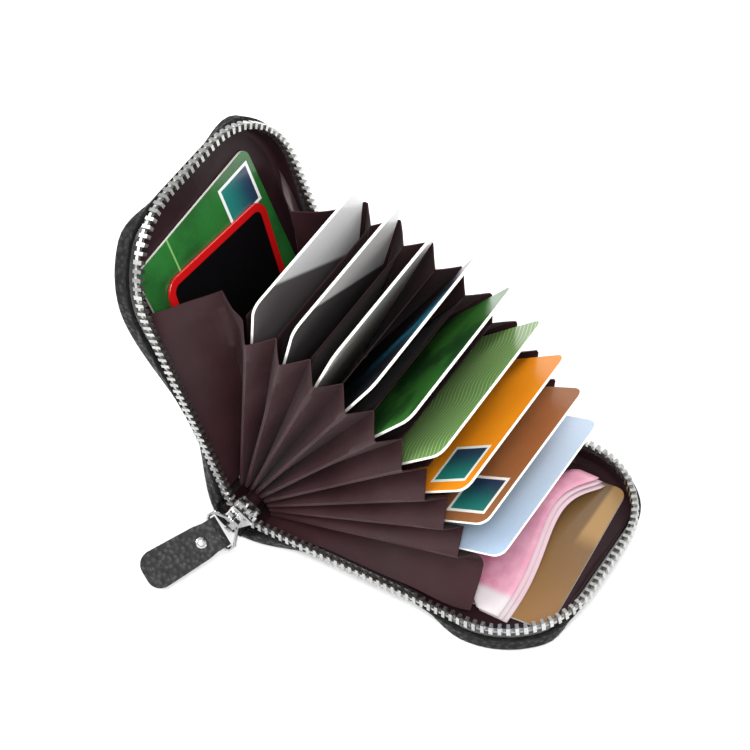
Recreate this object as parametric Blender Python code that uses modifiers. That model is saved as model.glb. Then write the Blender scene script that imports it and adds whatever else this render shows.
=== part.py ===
# Mini zip-around card wallet with an accordion of nine card pockets, standing open like a fan.
# The lower cover lies flat, the pockets fan out from the spine and the upper cover leans back.
# Units are metres, +Z is up, +Y runs along the spine away from the slider, and the origin is
# the middle of the lower cover's underside. All pages and both covers turn on one fold axis.

import math

import bmesh
import bpy
from mathutils import Vector

# Covers
COVER_MOUTH_MARGIN = 0.0174
COVER_SIDE_MARGIN = 0.01051
COVER_CORNER_RADIUS = 0.028
CLOSED_THICKNESS = 0.019
LEATHER_THICKNESS = 0.0014
COVER_WALL_HEIGHT = 0.005
COVER_EDGE_ROUNDING = 0.0011
WALL_END_RADIUS = 0.0075
LINING_THICKNESS = 0.0003
LINING_WALL_HEIGHT = 0.0061
SEAT_GAP = 0.0002
SPINE_END_GAP = 0.0003
CUT_OVERRUN = 0.004

# Opening angles, counted up from the lower cover
COVER_OPENING = math.radians(104.0)
LOWER_SPACE_ANGLE = math.radians(14.8)
POCKET_ANGLE = math.radians(7.65)
POCKET_COUNT = 9

# Zip
ZIP_INSET = 0.00195
ZIP_ROW_START = 0.0032
TOOTH_PITCH = 0.0024
TOOTH_LENGTH = 0.00125
TOOTH_THICKNESS = 0.0024
TOOTH_HEAD_THICKNESS = 0.0017
TOOTH_HEIGHT = 0.0026
TOOTH_FLANK = 0.00012
TOOTH_TIP_GAP = 0.0003
CORD_THICKNESS = 0.0010
CORD_HEIGHT = 0.0009
TAPE_THICKNESS = 0.0005
TAPE_ROW_GAP = 0.0002
TAPE_START = 0.0058

# Pages, which are the walls between the pockets
PAGE_THICKNESS = 0.0002
PAGE_CARD_GAP = 0.00006
CARD_SHOW = 0.0116
LOWEST_PAGE_HEIGHT = 0.0043
PAGE_EDGE_ROUNDING = 0.002

# Core roll that binds the pages at the spine
CORE_RADIUS = 0.0022
CORE_GAP = 0.0003
CORE_FACETS = 24
LEAST_PAGE_START = 0.0005

# Pleated gussets at both ends of the pages
GUSSET_FABRIC = 0.0005
GUSSET_OUTER_FOLD = 0.030
GUSSET_INNER_FOLD = 0.0235
GUSSET_RIDGE_WIDTH = 0.0008
GUSSET_RIM_GAP = 0.0003
GUSSET_RIM_ANGLE = math.radians(2.5)
GUSSET_RIM_HEIGHT = 0.0026
GUSSET_START = 0.005
SPACE_FOLD_DEPTH = 0.020
LOWER_FOLD_ANGLE = math.radians(8.5)
UPPER_FOLD_ANGLE = math.radians(93.9)
PAGE_GUSSET_GAP = 0.0003
END_PAGE_GUSSET_GAP = 0.0013

# Pocket floors, the bottom folds that the cards stand on
FLOOR_DEPTH = 0.0005
FLOOR_THICKNESS = 0.0006
FLOOR_CARD_GAP = 0.0003

# Cards and notes
CARD_LENGTH = 0.0856
CARD_WIDTH = 0.05398
CARD_THICKNESS = 0.00076
CARD_CORNER_RADIUS = 0.00318
CARD_LINING_GAP = 0.00015
GOLD_CARD_START = 0.0078
GOLD_CARD_SHIFT = -0.0006
GOLD_CARD_TURN = math.radians(4.6)
GREEN_CARD_START = 0.0005
GREEN_CARD_TURN = math.radians(-2.4)
RED_CARD_LENGTH = 0.072
RED_CARD_WIDTH = 0.048
RED_CARD_START = 0.001
RED_CARD_HEIGHT = 0.01569
RED_CARD_TURN = math.radians(5.7)
NOTE_MOUTH_MARGIN = 0.017
NOTE_SIDE_MARGIN = 0.0085
NOTE_THICKNESS = 0.001
NOTE_START = 0.025
NOTE_SHIFT = 0.0
NOTE_CARD_GAP = 0.00015

# Slider, crown, ring and leather pull
SLIDER_FRONT = 0.0046
SLIDER_REAR = 0.0048
SLIDER_FRONT_WIDTH = 0.0078
SLIDER_REAR_WIDTH = 0.0056
SLIDER_CORNER_RADIUS = 0.0011
SLIDER_PLATE = 0.0010
SLIDER_CHANNEL = 0.0032
SLIDER_POST_WIDTH = 0.0015
SLIDER_POST_LENGTH = 0.0026
SLIDER_FLANGE_LENGTH = 0.0034
SLIDER_FLANGE_THICKNESS = 0.0007
SLIDER_TAPE_SLOT = 0.0010
SLIDER_JOIN = 0.0003
CROWN_FRONT = 0.0026
CROWN_REAR = 0.0034
CROWN_WIDTH = 0.0020
CROWN_OPENING = 0.0029
CROWN_THICKNESS = 0.0008
CROWN_SHOULDER = 0.0016
RING_WIRE = 0.0012
RING_LENGTH = 0.0054
RING_INNER_WIDTH = 0.0054
RING_OUTER_WIDTH = 0.0126
RING_SHOULDER = 0.0026
RING_BAR_HEIGHT = 0.0017
RING_SKEW = math.radians(18.0)
PULL_DROOP = math.radians(24.0)
PULL_LENGTH = 0.024
PULL_NECK_WIDTH = 0.0094
PULL_NECK_END = 0.0024
PULL_END_WIDTH = 0.0116
PULL_LEATHER = 0.0011
PULL_FOLD_GAP = 0.0003
PULL_CORNER_RADIUS = 0.0042
RIVET_PLACE = 0.0052
RIVET_DOME_RADIUS = 0.0018
RIVET_DOME_HEIGHT = 0.0009
RIVET_SHANK_RADIUS = 0.0009
RIVET_HOLE_GAP = 0.0001
RIVET_SEAT_GAP = 0.00005
RIVET_BACK_HEIGHT = 0.0005

# Facets
CORNER_STEPS = 9
SMALL_CORNER_STEPS = 4
SPINE_STEPS = 12
WIRE_RESOLUTION = 2
ROUND_FACETS = 20
DOME_SHARES = ((0.0, 1.0), (0.35, 0.93), (0.65, 0.74), (0.88, 0.42), (1.0, 0.0))

# Derived places. Heights named "drop" are measured down from the fold axis in the lower cover.
COVER_REACH = CARD_LENGTH + COVER_MOUTH_MARGIN
COVER_WIDTH = CARD_WIDTH + 2 * COVER_SIDE_MARGIN
POCKET_DEPTH = CARD_LENGTH - CARD_SHOW
NOTE_LENGTH = COVER_REACH - NOTE_MOUTH_MARGIN - NOTE_START
NOTE_WIDTH = COVER_WIDTH - 2 * NOTE_SIDE_MARGIN
AXIS_HEIGHT = CLOSED_THICKNESS / 2
AXIS_X = -COVER_REACH / 2
AXIS = Vector((AXIS_X, 0, AXIS_HEIGHT))
LEATHER_TOP = -AXIS_HEIGHT + LEATHER_THICKNESS
LINING_LOW = LEATHER_TOP + SEAT_GAP
LINING_TOP = LINING_LOW + LINING_THICKNESS
ZIP_LINE = COVER_WIDTH / 2 - ZIP_INSET
ZIP_REACH = COVER_REACH - ZIP_INSET
ZIP_CORNER_RADIUS = COVER_CORNER_RADIUS - ZIP_INSET
TOOTH_TIP = -TOOTH_TIP_GAP / 2
TOOTH_FOOT = TOOTH_TIP - TOOTH_HEIGHT
TAPE_TOP = TOOTH_FOOT - TAPE_ROW_GAP
LINING_INSET = ZIP_INSET + TAPE_THICKNESS / 2 + SEAT_GAP
LOWEST_PAGE_OFFSET = LOWEST_PAGE_HEIGHT - AXIS_HEIGHT
PAGE_PITCH = CARD_THICKNESS + PAGE_THICKNESS + 2 * PAGE_CARD_GAP
PAGE_HALF_WIDTH = GUSSET_INNER_FOLD - GUSSET_FABRIC - PAGE_GUSSET_GAP
GUSSET_RIM = COVER_WIDTH / 2 - LINING_INSET - LINING_THICKNESS - GUSSET_RIM_GAP
BISECTOR = COVER_OPENING / 2


def new_collection(name, hidden):
    collection = bpy.data.collections.new(name)
    collection.hide_render = hidden
    bpy.context.scene.collection.children.link(collection)
    return collection


def clear_scene():
    for obj in list(bpy.data.objects):
        bpy.data.objects.remove(obj)


def material(name, color, roughness, metallic=0.0):
    made = bpy.data.materials.new(name)
    made.use_nodes = True
    shader = made.node_tree.nodes["Principled BSDF"]
    shader.inputs["Base Color"].default_value = (*color, 1.0)
    shader.inputs["Roughness"].default_value = roughness
    shader.inputs["Metallic"].default_value = metallic
    return made


def add_mesh(name, mesh, finish, collection=None):
    obj = bpy.data.objects.new(name, mesh)
    (collection or PARTS).objects.link(obj)
    if finish:
        mesh.materials.append(finish)
    return obj


def from_bmesh(name, bm, finish, collection=None):
    bmesh.ops.recalc_face_normals(bm, faces=bm.faces)
    mesh = bpy.data.meshes.new(name)
    bm.to_mesh(mesh)
    bm.free()
    return add_mesh(name, mesh, finish, collection)


def prism(name, outline, low, high, finish, collection=None, axis="Z"):
    """An outline raised from low to high along Z, or along Y for an outline given as (x, z)."""
    bm = bmesh.new()
    if axis == "Z":
        points = [(x, y, low) for x, y in outline]
        travel = Vector((0, 0, high - low))
    else:
        points = [(x, low, z) for x, z in outline]
        travel = Vector((0, high - low, 0))
    face = bm.faces.new([bm.verts.new(point) for point in points])
    grown = bmesh.ops.extrude_face_region(bm, geom=[face])
    moved = [item for item in grown["geom"] if isinstance(item, bmesh.types.BMVert)]
    bmesh.ops.translate(bm, verts=moved, vec=travel)
    return from_bmesh(name, bm, finish, collection)


def arc(center_x, center_y, radius, start, end, steps):
    points = []
    for step in range(steps + 1):
        angle = start + (end - start) * step / steps
        points.append((center_x + radius * math.cos(angle), center_y + radius * math.sin(angle)))
    return points


def mouth_outline(start, reach, half_width, radius):
    """A cover's outline: straight at the spine end, both corners round at the mouth end."""
    quarter = math.pi / 2
    points = [(start, -half_width)]
    points += arc(reach - radius, -half_width + radius, radius, -quarter, 0, CORNER_STEPS)
    points += arc(reach - radius, half_width - radius, radius, 0, quarter, CORNER_STEPS)
    points.append((start, half_width))
    return points


def card_outline(start, length, width, radius, shift, turn):
    """A card's outline with four round corners, turned in its plane about its own middle."""
    half_turn = math.pi / 2
    points = []
    corners = ((1, -1), (1, 1), (-1, 1), (-1, -1))
    for number, (along, across) in enumerate(corners):
        angle = half_turn * (number - 1)
        points += arc(
            along * (length / 2 - radius),
            across * (width / 2 - radius),
            radius,
            angle,
            angle + half_turn,
            SMALL_CORNER_STEPS,
        )
    cosine, sine = math.cos(turn), math.sin(turn)
    middle = start + length / 2
    return [(middle + x * cosine - y * sine, shift + x * sine + y * cosine) for x, y in points]


def place(obj, angle):
    """Puts an object whose own origin is on the fold axis at this opening angle."""
    obj.location = AXIS
    obj.rotation_euler = (0, -angle, 0)


def flip_over(obj):
    """Mirrors a lower cover piece in its own frame, so that it serves the upper cover."""
    for vertex in obj.data.vertices:
        vertex.co.z = -vertex.co.z
    obj.data.flip_normals()


def add_bevel(obj, width, segments, angle=math.radians(40)):
    bevel = obj.modifiers.new("Rounded edges", "BEVEL")
    bevel.width = width
    bevel.segments = segments
    bevel.limit_method = "ANGLE"
    bevel.angle_limit = angle


def cut(obj, cutter):
    boolean = obj.modifiers.new("Cut " + cutter.name, "BOOLEAN")
    boolean.operation = "DIFFERENCE"
    boolean.solver = "EXACT"
    boolean.object = cutter
    cutter.hide_render = True
    cutter.display_type = "WIRE"
    cutter.location = obj.location
    cutter.rotation_euler = obj.rotation_euler


def join(obj, other):
    """A union, with the second shape kept as a hidden guide."""
    boolean = obj.modifiers.new("Join " + other.name, "BOOLEAN")
    boolean.operation = "UNION"
    boolean.solver = "EXACT"
    boolean.object = other
    other.hide_render = True
    other.display_type = "WIRE"


def wall_end_cutter(name, turn):
    """A round bar on the fold axis that leaves room for the slider between the side walls."""
    bm = bmesh.new()
    bmesh.ops.create_cone(
        bm,
        cap_ends=True,
        segments=CORE_FACETS,
        radius1=WALL_END_RADIUS,
        radius2=WALL_END_RADIUS,
        depth=COVER_WIDTH + 2 * CUT_OVERRUN,
    )
    for vertex in bm.verts:
        vertex.co = Vector((vertex.co.x, vertex.co.z, -vertex.co.y))
    obj = from_bmesh(name, bm, None, CUTTERS)
    place(obj, turn)
    return obj


def make_cover(side, angle):
    """The leather tray of one cover: a flat face with a low wall on its three zipped sides."""
    outline = mouth_outline(0, COVER_REACH, COVER_WIDTH / 2, COVER_CORNER_RADIUS)
    top = -AXIS_HEIGHT + COVER_WALL_HEIGHT
    cover = prism(side + "_cover_leather", outline, -AXIS_HEIGHT, top, LEATHER)
    wall = LEATHER_THICKNESS
    inside = mouth_outline(
        -CUT_OVERRUN, COVER_REACH - wall, COVER_WIDTH / 2 - wall, COVER_CORNER_RADIUS - wall
    )
    cavity = prism(side + "_cover_cavity", inside, LEATHER_TOP, CUT_OVERRUN, None, CUTTERS)
    if side == "upper":
        flip_over(cover)
        flip_over(cavity)
    place(cover, angle)
    add_bevel(cover, COVER_EDGE_ROUNDING, 2)
    cut(cover, cavity)
    cut(cover, wall_end_cutter(side + "_wall_end_cutter", angle))
    return cover


def make_lining(side, angle):
    """The satin lining that lies in the leather tray and climbs its walls to the zip tape."""
    inset = LINING_INSET
    start = SPINE_END_GAP
    outline = mouth_outline(
        start, COVER_REACH - inset, COVER_WIDTH / 2 - inset, COVER_CORNER_RADIUS - inset
    )
    top = -AXIS_HEIGHT + LINING_WALL_HEIGHT
    lining = prism(side + "_cover_lining", outline, LINING_LOW, top, SATIN)
    inset += LINING_THICKNESS
    inside = mouth_outline(
        -CUT_OVERRUN, COVER_REACH - inset, COVER_WIDTH / 2 - inset, COVER_CORNER_RADIUS - inset
    )
    cavity = prism(side + "_lining_cavity", inside, LINING_TOP, CUT_OVERRUN, None, CUTTERS)
    if side == "upper":
        flip_over(lining)
        flip_over(cavity)
    place(lining, angle)
    cut(lining, cavity)
    cut(lining, wall_end_cutter(side + "_lining_end_cutter", angle))
    return lining


def zip_path(start):
    """The zip's route round a cover, as (x, y) points from the front of the spine to its back."""
    return mouth_outline(start, ZIP_REACH, ZIP_LINE, ZIP_CORNER_RADIUS)


def walk(points, distances):
    """The place and the outward direction at each distance along a route of points."""
    found = []
    lengths = [0.0]
    for first, second in zip(points, points[1:]):
        lengths.append(lengths[-1] + math.dist(first, second))
    leg = 0
    for distance in distances:
        while leg < len(points) - 2 and distance > lengths[leg + 1]:
            leg += 1
        share = (distance - lengths[leg]) / (lengths[leg + 1] - lengths[leg])
        place_x = points[leg][0] + share * (points[leg + 1][0] - points[leg][0])
        place_y = points[leg][1] + share * (points[leg + 1][1] - points[leg][1])
        along_x = (points[leg + 1][0] - points[leg][0]) / (lengths[leg + 1] - lengths[leg])
        along_y = (points[leg + 1][1] - points[leg][1]) / (lengths[leg + 1] - lengths[leg])
        found.append(((place_x, place_y), (along_y, -along_x)))
    return found


def route_length(points):
    return sum(math.dist(first, second) for first, second in zip(points, points[1:]))


def sweep(name, stations, sections, finish):
    """One closed body through a row of four-cornered sections, each (half foot, half head, low, high)."""
    bm = bmesh.new()
    rings = []
    for ((x, y), (out_x, out_y)), (foot, head, low, high) in zip(stations, sections):
        ring = []
        for across, height in ((-foot, low), (foot, low), (head, high), (-head, high)):
            ring.append(bm.verts.new((x + out_x * across, y + out_y * across, height)))
        rings.append(ring)
    for ring, following in zip(rings, rings[1:]):
        for corner in range(4):
            beside = (corner + 1) % 4
            bm.faces.new((ring[corner], ring[beside], following[beside], following[corner]))
    bm.faces.new(rings[0])
    bm.faces.new(rings[-1])
    return from_bmesh(name, bm, finish)


def make_teeth(side, angle):
    """One row of metal teeth, clamped on the cord that runs along the tape's edge."""
    route = zip_path(ZIP_ROW_START)
    length = route_length(route)
    count = int(length / TOOTH_PITCH)
    distances, sections = [0.0], []
    cord = (CORD_THICKNESS / 2, CORD_THICKNESS / 2, TOOTH_FOOT, TOOTH_FOOT + CORD_HEIGHT)
    tooth = (TOOTH_THICKNESS / 2, TOOTH_HEAD_THICKNESS / 2, TOOTH_FOOT, TOOTH_TIP)
    sections.append(cord)
    for number in range(count):
        start = TOOTH_PITCH * number + (TOOTH_PITCH - TOOTH_LENGTH) / 2
        distances += [start, start + TOOTH_FLANK]
        distances += [start + TOOTH_LENGTH - TOOTH_FLANK, start + TOOTH_LENGTH]
        sections += [cord, tooth, tooth, cord]
    distances.append(length)
    sections.append(cord)
    teeth = sweep(side + "_zip_teeth", walk(route, distances), sections, STEEL)
    if side == "upper":
        flip_over(teeth)
    place(teeth, angle)
    return teeth


def make_tape(side, angle):
    """The woven tape between leather wall and lining that carries the row of teeth."""
    route = zip_path(TAPE_START)
    lengths = [0.0]
    for first, second in zip(route, route[1:]):
        lengths.append(lengths[-1] + math.dist(first, second))
    half = TAPE_THICKNESS / 2
    section = (half, half, LINING_LOW, TAPE_TOP)
    tape = sweep(side + "_zip_tape", walk(route, lengths), [section] * len(lengths), TAPE)
    if side == "upper":
        flip_over(tape)
    place(tape, angle)
    return tape


def ring_sector(inner, outer, low, high):
    points = arc(0, 0, outer, low, high, SPINE_STEPS)
    points += arc(0, 0, inner, high, low, SPINE_STEPS)
    return points


def make_spine():
    """The leather back that bends round the fold axis from cover to cover, and its lining."""
    gap = SPINE_END_GAP / AXIS_HEIGHT
    low = COVER_OPENING + math.pi / 2 + gap
    high = math.pi * 3 / 2 - gap
    outline = ring_sector(AXIS_HEIGHT - LEATHER_THICKNESS, AXIS_HEIGHT, low, high)
    half = COVER_WIDTH / 2
    leather = prism("spine_leather", outline, -half, half, LEATHER, axis="Y")
    leather.location = AXIS
    half = COVER_WIDTH / 2 - LINING_INSET
    outline = ring_sector(-LINING_TOP, -LINING_LOW, low, high)
    lining = prism("spine_lining", outline, -half, half, SATIN, axis="Y")
    lining.location = AXIS


def make_core():
    """The rolled binding on the fold axis, which the feet of all pages close round."""
    bm = bmesh.new()
    half = ZIP_LINE - SLIDER_CHANNEL / 2 - SLIDER_PLATE - CORE_GAP
    bmesh.ops.create_cone(
        bm,
        cap_ends=True,
        segments=CORE_FACETS,
        radius1=CORE_RADIUS,
        radius2=CORE_RADIUS,
        depth=2 * half,
    )
    for vertex in bm.verts:
        vertex.co = Vector((vertex.co.x, vertex.co.z, -vertex.co.y))
    core = from_bmesh("spine_core", bm, SATIN)
    place(core, BISECTOR)
    add_bevel(core, CORE_GAP, 1)


def foot_of(offset, half_thickness):
    """How far out a flat page or card at this offset starts, so that it clears the core roll."""
    clear = CORE_RADIUS + CORE_GAP
    nearest = max(abs(offset) - half_thickness, 0.0)
    return max(math.sqrt(max(clear * clear - nearest * nearest, 0.0)), LEAST_PAGE_START)


def page_offset(number):
    """Pages are numbered up from the lower cover. The stack is even when the wallet is shut."""
    return LOWEST_PAGE_OFFSET + PAGE_PITCH * number


def page_angle(number):
    return LOWER_SPACE_ANGLE + POCKET_ANGLE * number


def make_pages():
    """The pocket walls. The lowest and highest are narrower, beside the deep folds of the gusset."""
    for number in range(POCKET_COUNT + 1):
        offset = page_offset(number)
        half = PAGE_THICKNESS / 2
        foot = foot_of(offset, half)
        half_width = PAGE_HALF_WIDTH
        if number in (0, POCKET_COUNT):
            half_width = GUSSET_INNER_FOLD - GUSSET_FABRIC - END_PAGE_GUSSET_GAP
        outline = [(foot, -half_width)]
        corner = PAGE_EDGE_ROUNDING
        far = POCKET_DEPTH - corner
        side = half_width - corner
        outline += arc(far, -side, corner, -math.pi / 2, 0, SMALL_CORNER_STEPS)
        outline += arc(far, side, corner, 0, math.pi / 2, SMALL_CORNER_STEPS)
        outline.append((foot, half_width))
        page = prism("page_%d" % number, outline, offset - half, offset + half, PAGE_FABRIC)
        place(page, page_angle(number))


def make_pockets():
    """A floor and a card in each pocket, on the plane halfway between its two pages."""
    half = CARD_THICKNESS / 2
    for number in range(POCKET_COUNT):
        offset = page_offset(number) + PAGE_PITCH / 2
        angle = page_angle(number) + POCKET_ANGLE / 2
        foot = foot_of(offset, half)
        top = foot + FLOOR_DEPTH
        outline = rectangle(foot, top, -PAGE_HALF_WIDTH, PAGE_HALF_WIDTH)
        low, high = offset - FLOOR_THICKNESS / 2, offset + FLOOR_THICKNESS / 2
        floor = prism("pocket_floor_%d" % (number + 1), outline, low, high, PAGE_FABRIC)
        place(floor, angle)
        start = top + FLOOR_CARD_GAP
        outline = card_outline(start, CARD_LENGTH, CARD_WIDTH, CARD_CORNER_RADIUS, 0, 0)
        name = "card_%d" % (number + 1)
        card = prism(name, outline, offset - half, offset + half, CARD_FINISHES[number])
        place(card, angle)


def make_space_contents():
    """What lies in the two wide spaces between the accordion and the covers."""
    low = LINING_TOP + CARD_LINING_GAP
    radius = CARD_CORNER_RADIUS
    outline = card_outline(
        GOLD_CARD_START, CARD_LENGTH, CARD_WIDTH, radius, GOLD_CARD_SHIFT, GOLD_CARD_TURN
    )
    gold = prism("lower_card", outline, low, low + CARD_THICKNESS, GOLD_CARD)
    place(gold, 0)
    note_low = low + CARD_THICKNESS + NOTE_CARD_GAP
    half = NOTE_WIDTH / 2
    outline = [(NOTE_START, NOTE_SHIFT - half), (NOTE_START + NOTE_LENGTH, NOTE_SHIFT - half)]
    outline += [(NOTE_START + NOTE_LENGTH, NOTE_SHIFT + half), (NOTE_START, NOTE_SHIFT + half)]
    notes = prism("folded_notes", outline, note_low, note_low + NOTE_THICKNESS, NOTE_PAPER)
    place(notes, 0)
    outline = card_outline(GREEN_CARD_START, CARD_LENGTH, CARD_WIDTH, radius, 0, GREEN_CARD_TURN)
    green = prism("upper_card", outline, -low - CARD_THICKNESS, -low, GREEN_CARD)
    place(green, COVER_OPENING)
    outline = card_outline(RED_CARD_START, RED_CARD_LENGTH, RED_CARD_WIDTH, radius, 0, RED_CARD_TURN)
    low = RED_CARD_HEIGHT - AXIS_HEIGHT - CARD_THICKNESS / 2
    red = prism("upper_small_card", outline, low, low + CARD_THICKNESS, RED_CARD)
    place(red, COVER_OPENING)


def fold_line(angle, offset, depth):
    """A fold of the gusset: it runs out from the core along its plane, at this distance along Y."""
    return {"angle": angle, "offset": offset, "depth": depth}


def gusset_lines():
    """The folds of one pleated gusset, in order from the lower cover's rim to the upper one's."""
    rim_offset = GUSSET_RIM_HEIGHT - AXIS_HEIGHT
    low, high = page_offset(0), page_offset(POCKET_COUNT)
    lines = [fold_line(GUSSET_RIM_ANGLE, rim_offset, GUSSET_RIM)]
    lines.append(fold_line(LOWER_FOLD_ANGLE, (low + rim_offset) / 2, SPACE_FOLD_DEPTH))
    for number in range(POCKET_COUNT + 1):
        offset = page_offset(number)
        lines.append(fold_line(page_angle(number), offset, GUSSET_INNER_FOLD))
        if number == POCKET_COUNT:
            break
        middle = offset + PAGE_PITCH / 2
        angle = page_angle(number) + POCKET_ANGLE / 2
        for side in (-1, 1):
            ridge = middle + side * GUSSET_RIDGE_WIDTH / 2
            lines.append(fold_line(angle, ridge, GUSSET_OUTER_FOLD))
    lines.append(fold_line(UPPER_FOLD_ANGLE, (high - rim_offset) / 2, SPACE_FOLD_DEPTH))
    lines.append(fold_line(COVER_OPENING - GUSSET_RIM_ANGLE, -rim_offset, GUSSET_RIM))
    return lines


def along_fold(line, share):
    """The place on a fold, at a share of the way from its foot to its mouth end."""
    reach = GUSSET_START + (POCKET_DEPTH - GUSSET_START) * share
    cosine, sine = math.cos(line["angle"]), math.sin(line["angle"])
    x = reach * cosine - line["offset"] * sine
    z = reach * sine + line["offset"] * cosine
    return x, z


def make_gusset(name, sign):
    """The pleated end of the accordion: one strip of fabric folded in and out between the pages."""
    bm = bmesh.new()
    outer, inner = [], []
    for line in gusset_lines():
        for share, depth in ((0, 0), (1, 0)):
            x, z = along_fold(line, share)
            outer.append(bm.verts.new((x, sign * (line["depth"] - depth), z)))
            inner.append(bm.verts.new((x, sign * (line["depth"] - GUSSET_FABRIC), z)))
    count = len(outer) // 2
    for number in range(count - 1):
        foot, mouth = 2 * number, 2 * number + 1
        next_foot, next_mouth = foot + 2, mouth + 2
        for skin in (outer, inner):
            bm.faces.new((skin[foot], skin[mouth], skin[next_mouth]))
            bm.faces.new((skin[foot], skin[next_mouth], skin[next_foot]))
        bm.faces.new((outer[foot], inner[foot], inner[next_foot], outer[next_foot]))
        bm.faces.new((outer[mouth], inner[mouth], inner[next_mouth], outer[next_mouth]))
    last = 2 * (count - 1)
    bm.faces.new((outer[0], inner[0], inner[1], outer[1]))
    bm.faces.new((outer[last], inner[last], inner[last + 1], outer[last + 1]))
    gusset = from_bmesh(name, bm, SATIN)
    gusset.location = AXIS


def add_empty(name, parent=None):
    empty = bpy.data.objects.new(name, None)
    PARTS.objects.link(empty)
    empty.empty_display_size = SLIDER_FRONT
    empty.parent = parent
    return empty


def slider_outline(shrink):
    front, rear = SLIDER_FRONT - shrink, SLIDER_REAR - shrink
    front_half, rear_half = SLIDER_FRONT_WIDTH / 2 - shrink, SLIDER_REAR_WIDTH / 2 - shrink
    radius = SLIDER_CORNER_RADIUS
    quarter = math.pi / 2
    points = arc(front - radius, -front_half + radius, radius, -quarter, 0, SMALL_CORNER_STEPS)
    points += arc(front - radius, front_half - radius, radius, 0, quarter, SMALL_CORNER_STEPS)
    points += arc(-rear + radius, rear_half - radius, radius, quarter, 2 * quarter, SMALL_CORNER_STEPS)
    points += arc(
        -rear + radius, -rear_half + radius, radius, -2 * quarter, -quarter, SMALL_CORNER_STEPS
    )
    return points


def rectangle(low_x, high_x, low_y, high_y):
    return ((low_x, low_y), (high_x, low_y), (high_x, high_y), (low_x, high_y))


def make_slider(frame):
    """Two shield-shaped plates on a post, with guide flanges at the rear and a crown on top."""
    half = SLIDER_CHANNEL / 2
    outline = slider_outline(0)
    body = prism("slider_body", outline, half, half + SLIDER_PLATE, CHROME)
    body.parent = frame
    add_bevel(body, SLIDER_PLATE / 3, 1)
    lower = prism("slider_lower_plate", outline, -half - SLIDER_PLATE, -half, None, CUTTERS)
    lower.parent = frame
    join(body, lower)
    long, wide = SLIDER_POST_LENGTH / 2, SLIDER_POST_WIDTH / 2
    diamond = ((-long, 0), (0, -wide), (long, 0), (0, wide))
    reach = half + SLIDER_JOIN
    post = prism("slider_post", diamond, -reach, reach, None, CUTTERS)
    post.parent = frame
    join(body, post)
    rear = -SLIDER_REAR + SLIDER_CORNER_RADIUS
    for side in (-1, 1):
        edge = side * (SLIDER_REAR_WIDTH / 2 + SLIDER_JOIN)
        inner = edge - side * SLIDER_FLANGE_THICKNESS
        across = sorted((edge, inner))
        outline = rectangle(rear, rear + SLIDER_FLANGE_LENGTH, *across)
        for level in (-1, 1):
            heights = sorted((level * SLIDER_TAPE_SLOT / 2, level * (half + SLIDER_JOIN)))
            name = "slider_flange_%d_%d" % (side + 1, level + 1)
            flange = prism(name, outline, *heights, None, CUTTERS)
            flange.parent = frame
            join(body, flange)
    base = half + SLIDER_PLATE
    foot = base - SLIDER_JOIN
    inner_top = base + CROWN_OPENING
    top = inner_top + CROWN_THICKNESS
    wall = CROWN_THICKNESS
    arch = [(-CROWN_REAR, foot), (-CROWN_REAR, top - CROWN_SHOULDER)]
    arch += [(-CROWN_REAR + CROWN_SHOULDER, top), (CROWN_FRONT - CROWN_SHOULDER, top)]
    arch += [(CROWN_FRONT, top - CROWN_SHOULDER), (CROWN_FRONT, foot)]
    arch += [(CROWN_FRONT - wall, foot), (CROWN_FRONT - wall, inner_top - CROWN_SHOULDER / 2)]
    arch += [(CROWN_FRONT - CROWN_SHOULDER, inner_top), (-CROWN_REAR + CROWN_SHOULDER, inner_top)]
    arch += [(-CROWN_REAR + wall, inner_top - CROWN_SHOULDER / 2), (-CROWN_REAR + wall, foot)]
    half_crown = CROWN_WIDTH / 2
    crown = prism("slider_crown_arch", arch, -half_crown, half_crown, None, CUTTERS, axis="Y")
    crown.parent = frame
    join(body, crown)


def wire_loop(name, points, thickness, finish):
    """A closed loop of round wire through these points."""
    curve = bpy.data.curves.new(name, "CURVE")
    curve.dimensions = "3D"
    curve.bevel_depth = thickness / 2
    curve.bevel_resolution = WIRE_RESOLUTION
    spline = curve.splines.new("POLY")
    spline.points.add(len(points) - 1)
    for target, point in zip(spline.points, points):
        target.co = (*point, 1.0)
    spline.use_cyclic_u = True
    curve.materials.append(finish)
    obj = bpy.data.objects.new(name, curve)
    PARTS.objects.link(obj)
    return obj


def make_ring(frame):
    """The trapezoid wire ring that joins the slider's crown to the leather pull."""
    inner, outer = RING_INNER_WIDTH / 2, RING_OUTER_WIDTH / 2 - RING_WIRE / 2
    far = RING_LENGTH
    bend = RING_WIRE / 2
    points = [(0, -inner + bend, 0), (0, inner - bend, 0), (bend, inner, 0)]
    shoulder = far - RING_SHOULDER
    points += [(shoulder, outer, 0), (far - bend, outer, 0), (far, outer - bend, 0)]
    points += [(far, -outer + bend, 0), (far - bend, -outer, 0), (shoulder, -outer, 0)]
    points.append((bend, -inner, 0))
    ring = wire_loop("pull_ring", points, RING_WIRE, CHROME)
    ring.parent = frame
    ring.location = (0, 0, 0)


def pull_profile():
    """The folded leather seen from its edge, from the loop round the ring's bar to the tip."""
    loop = RING_WIRE / 2 + PULL_FOLD_GAP
    thickness = PULL_LEATHER
    outer = loop + thickness
    half_turn = math.pi / 2
    points = arc(0, 0, outer, half_turn, 3 * half_turn, CORNER_STEPS)
    points += [(RIVET_PLACE / 2, -thickness - PULL_FOLD_GAP / 2), (PULL_LENGTH, -thickness)]
    points += [(PULL_LENGTH, thickness), (RIVET_PLACE / 2, thickness + PULL_FOLD_GAP / 2)]
    return points


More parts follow.
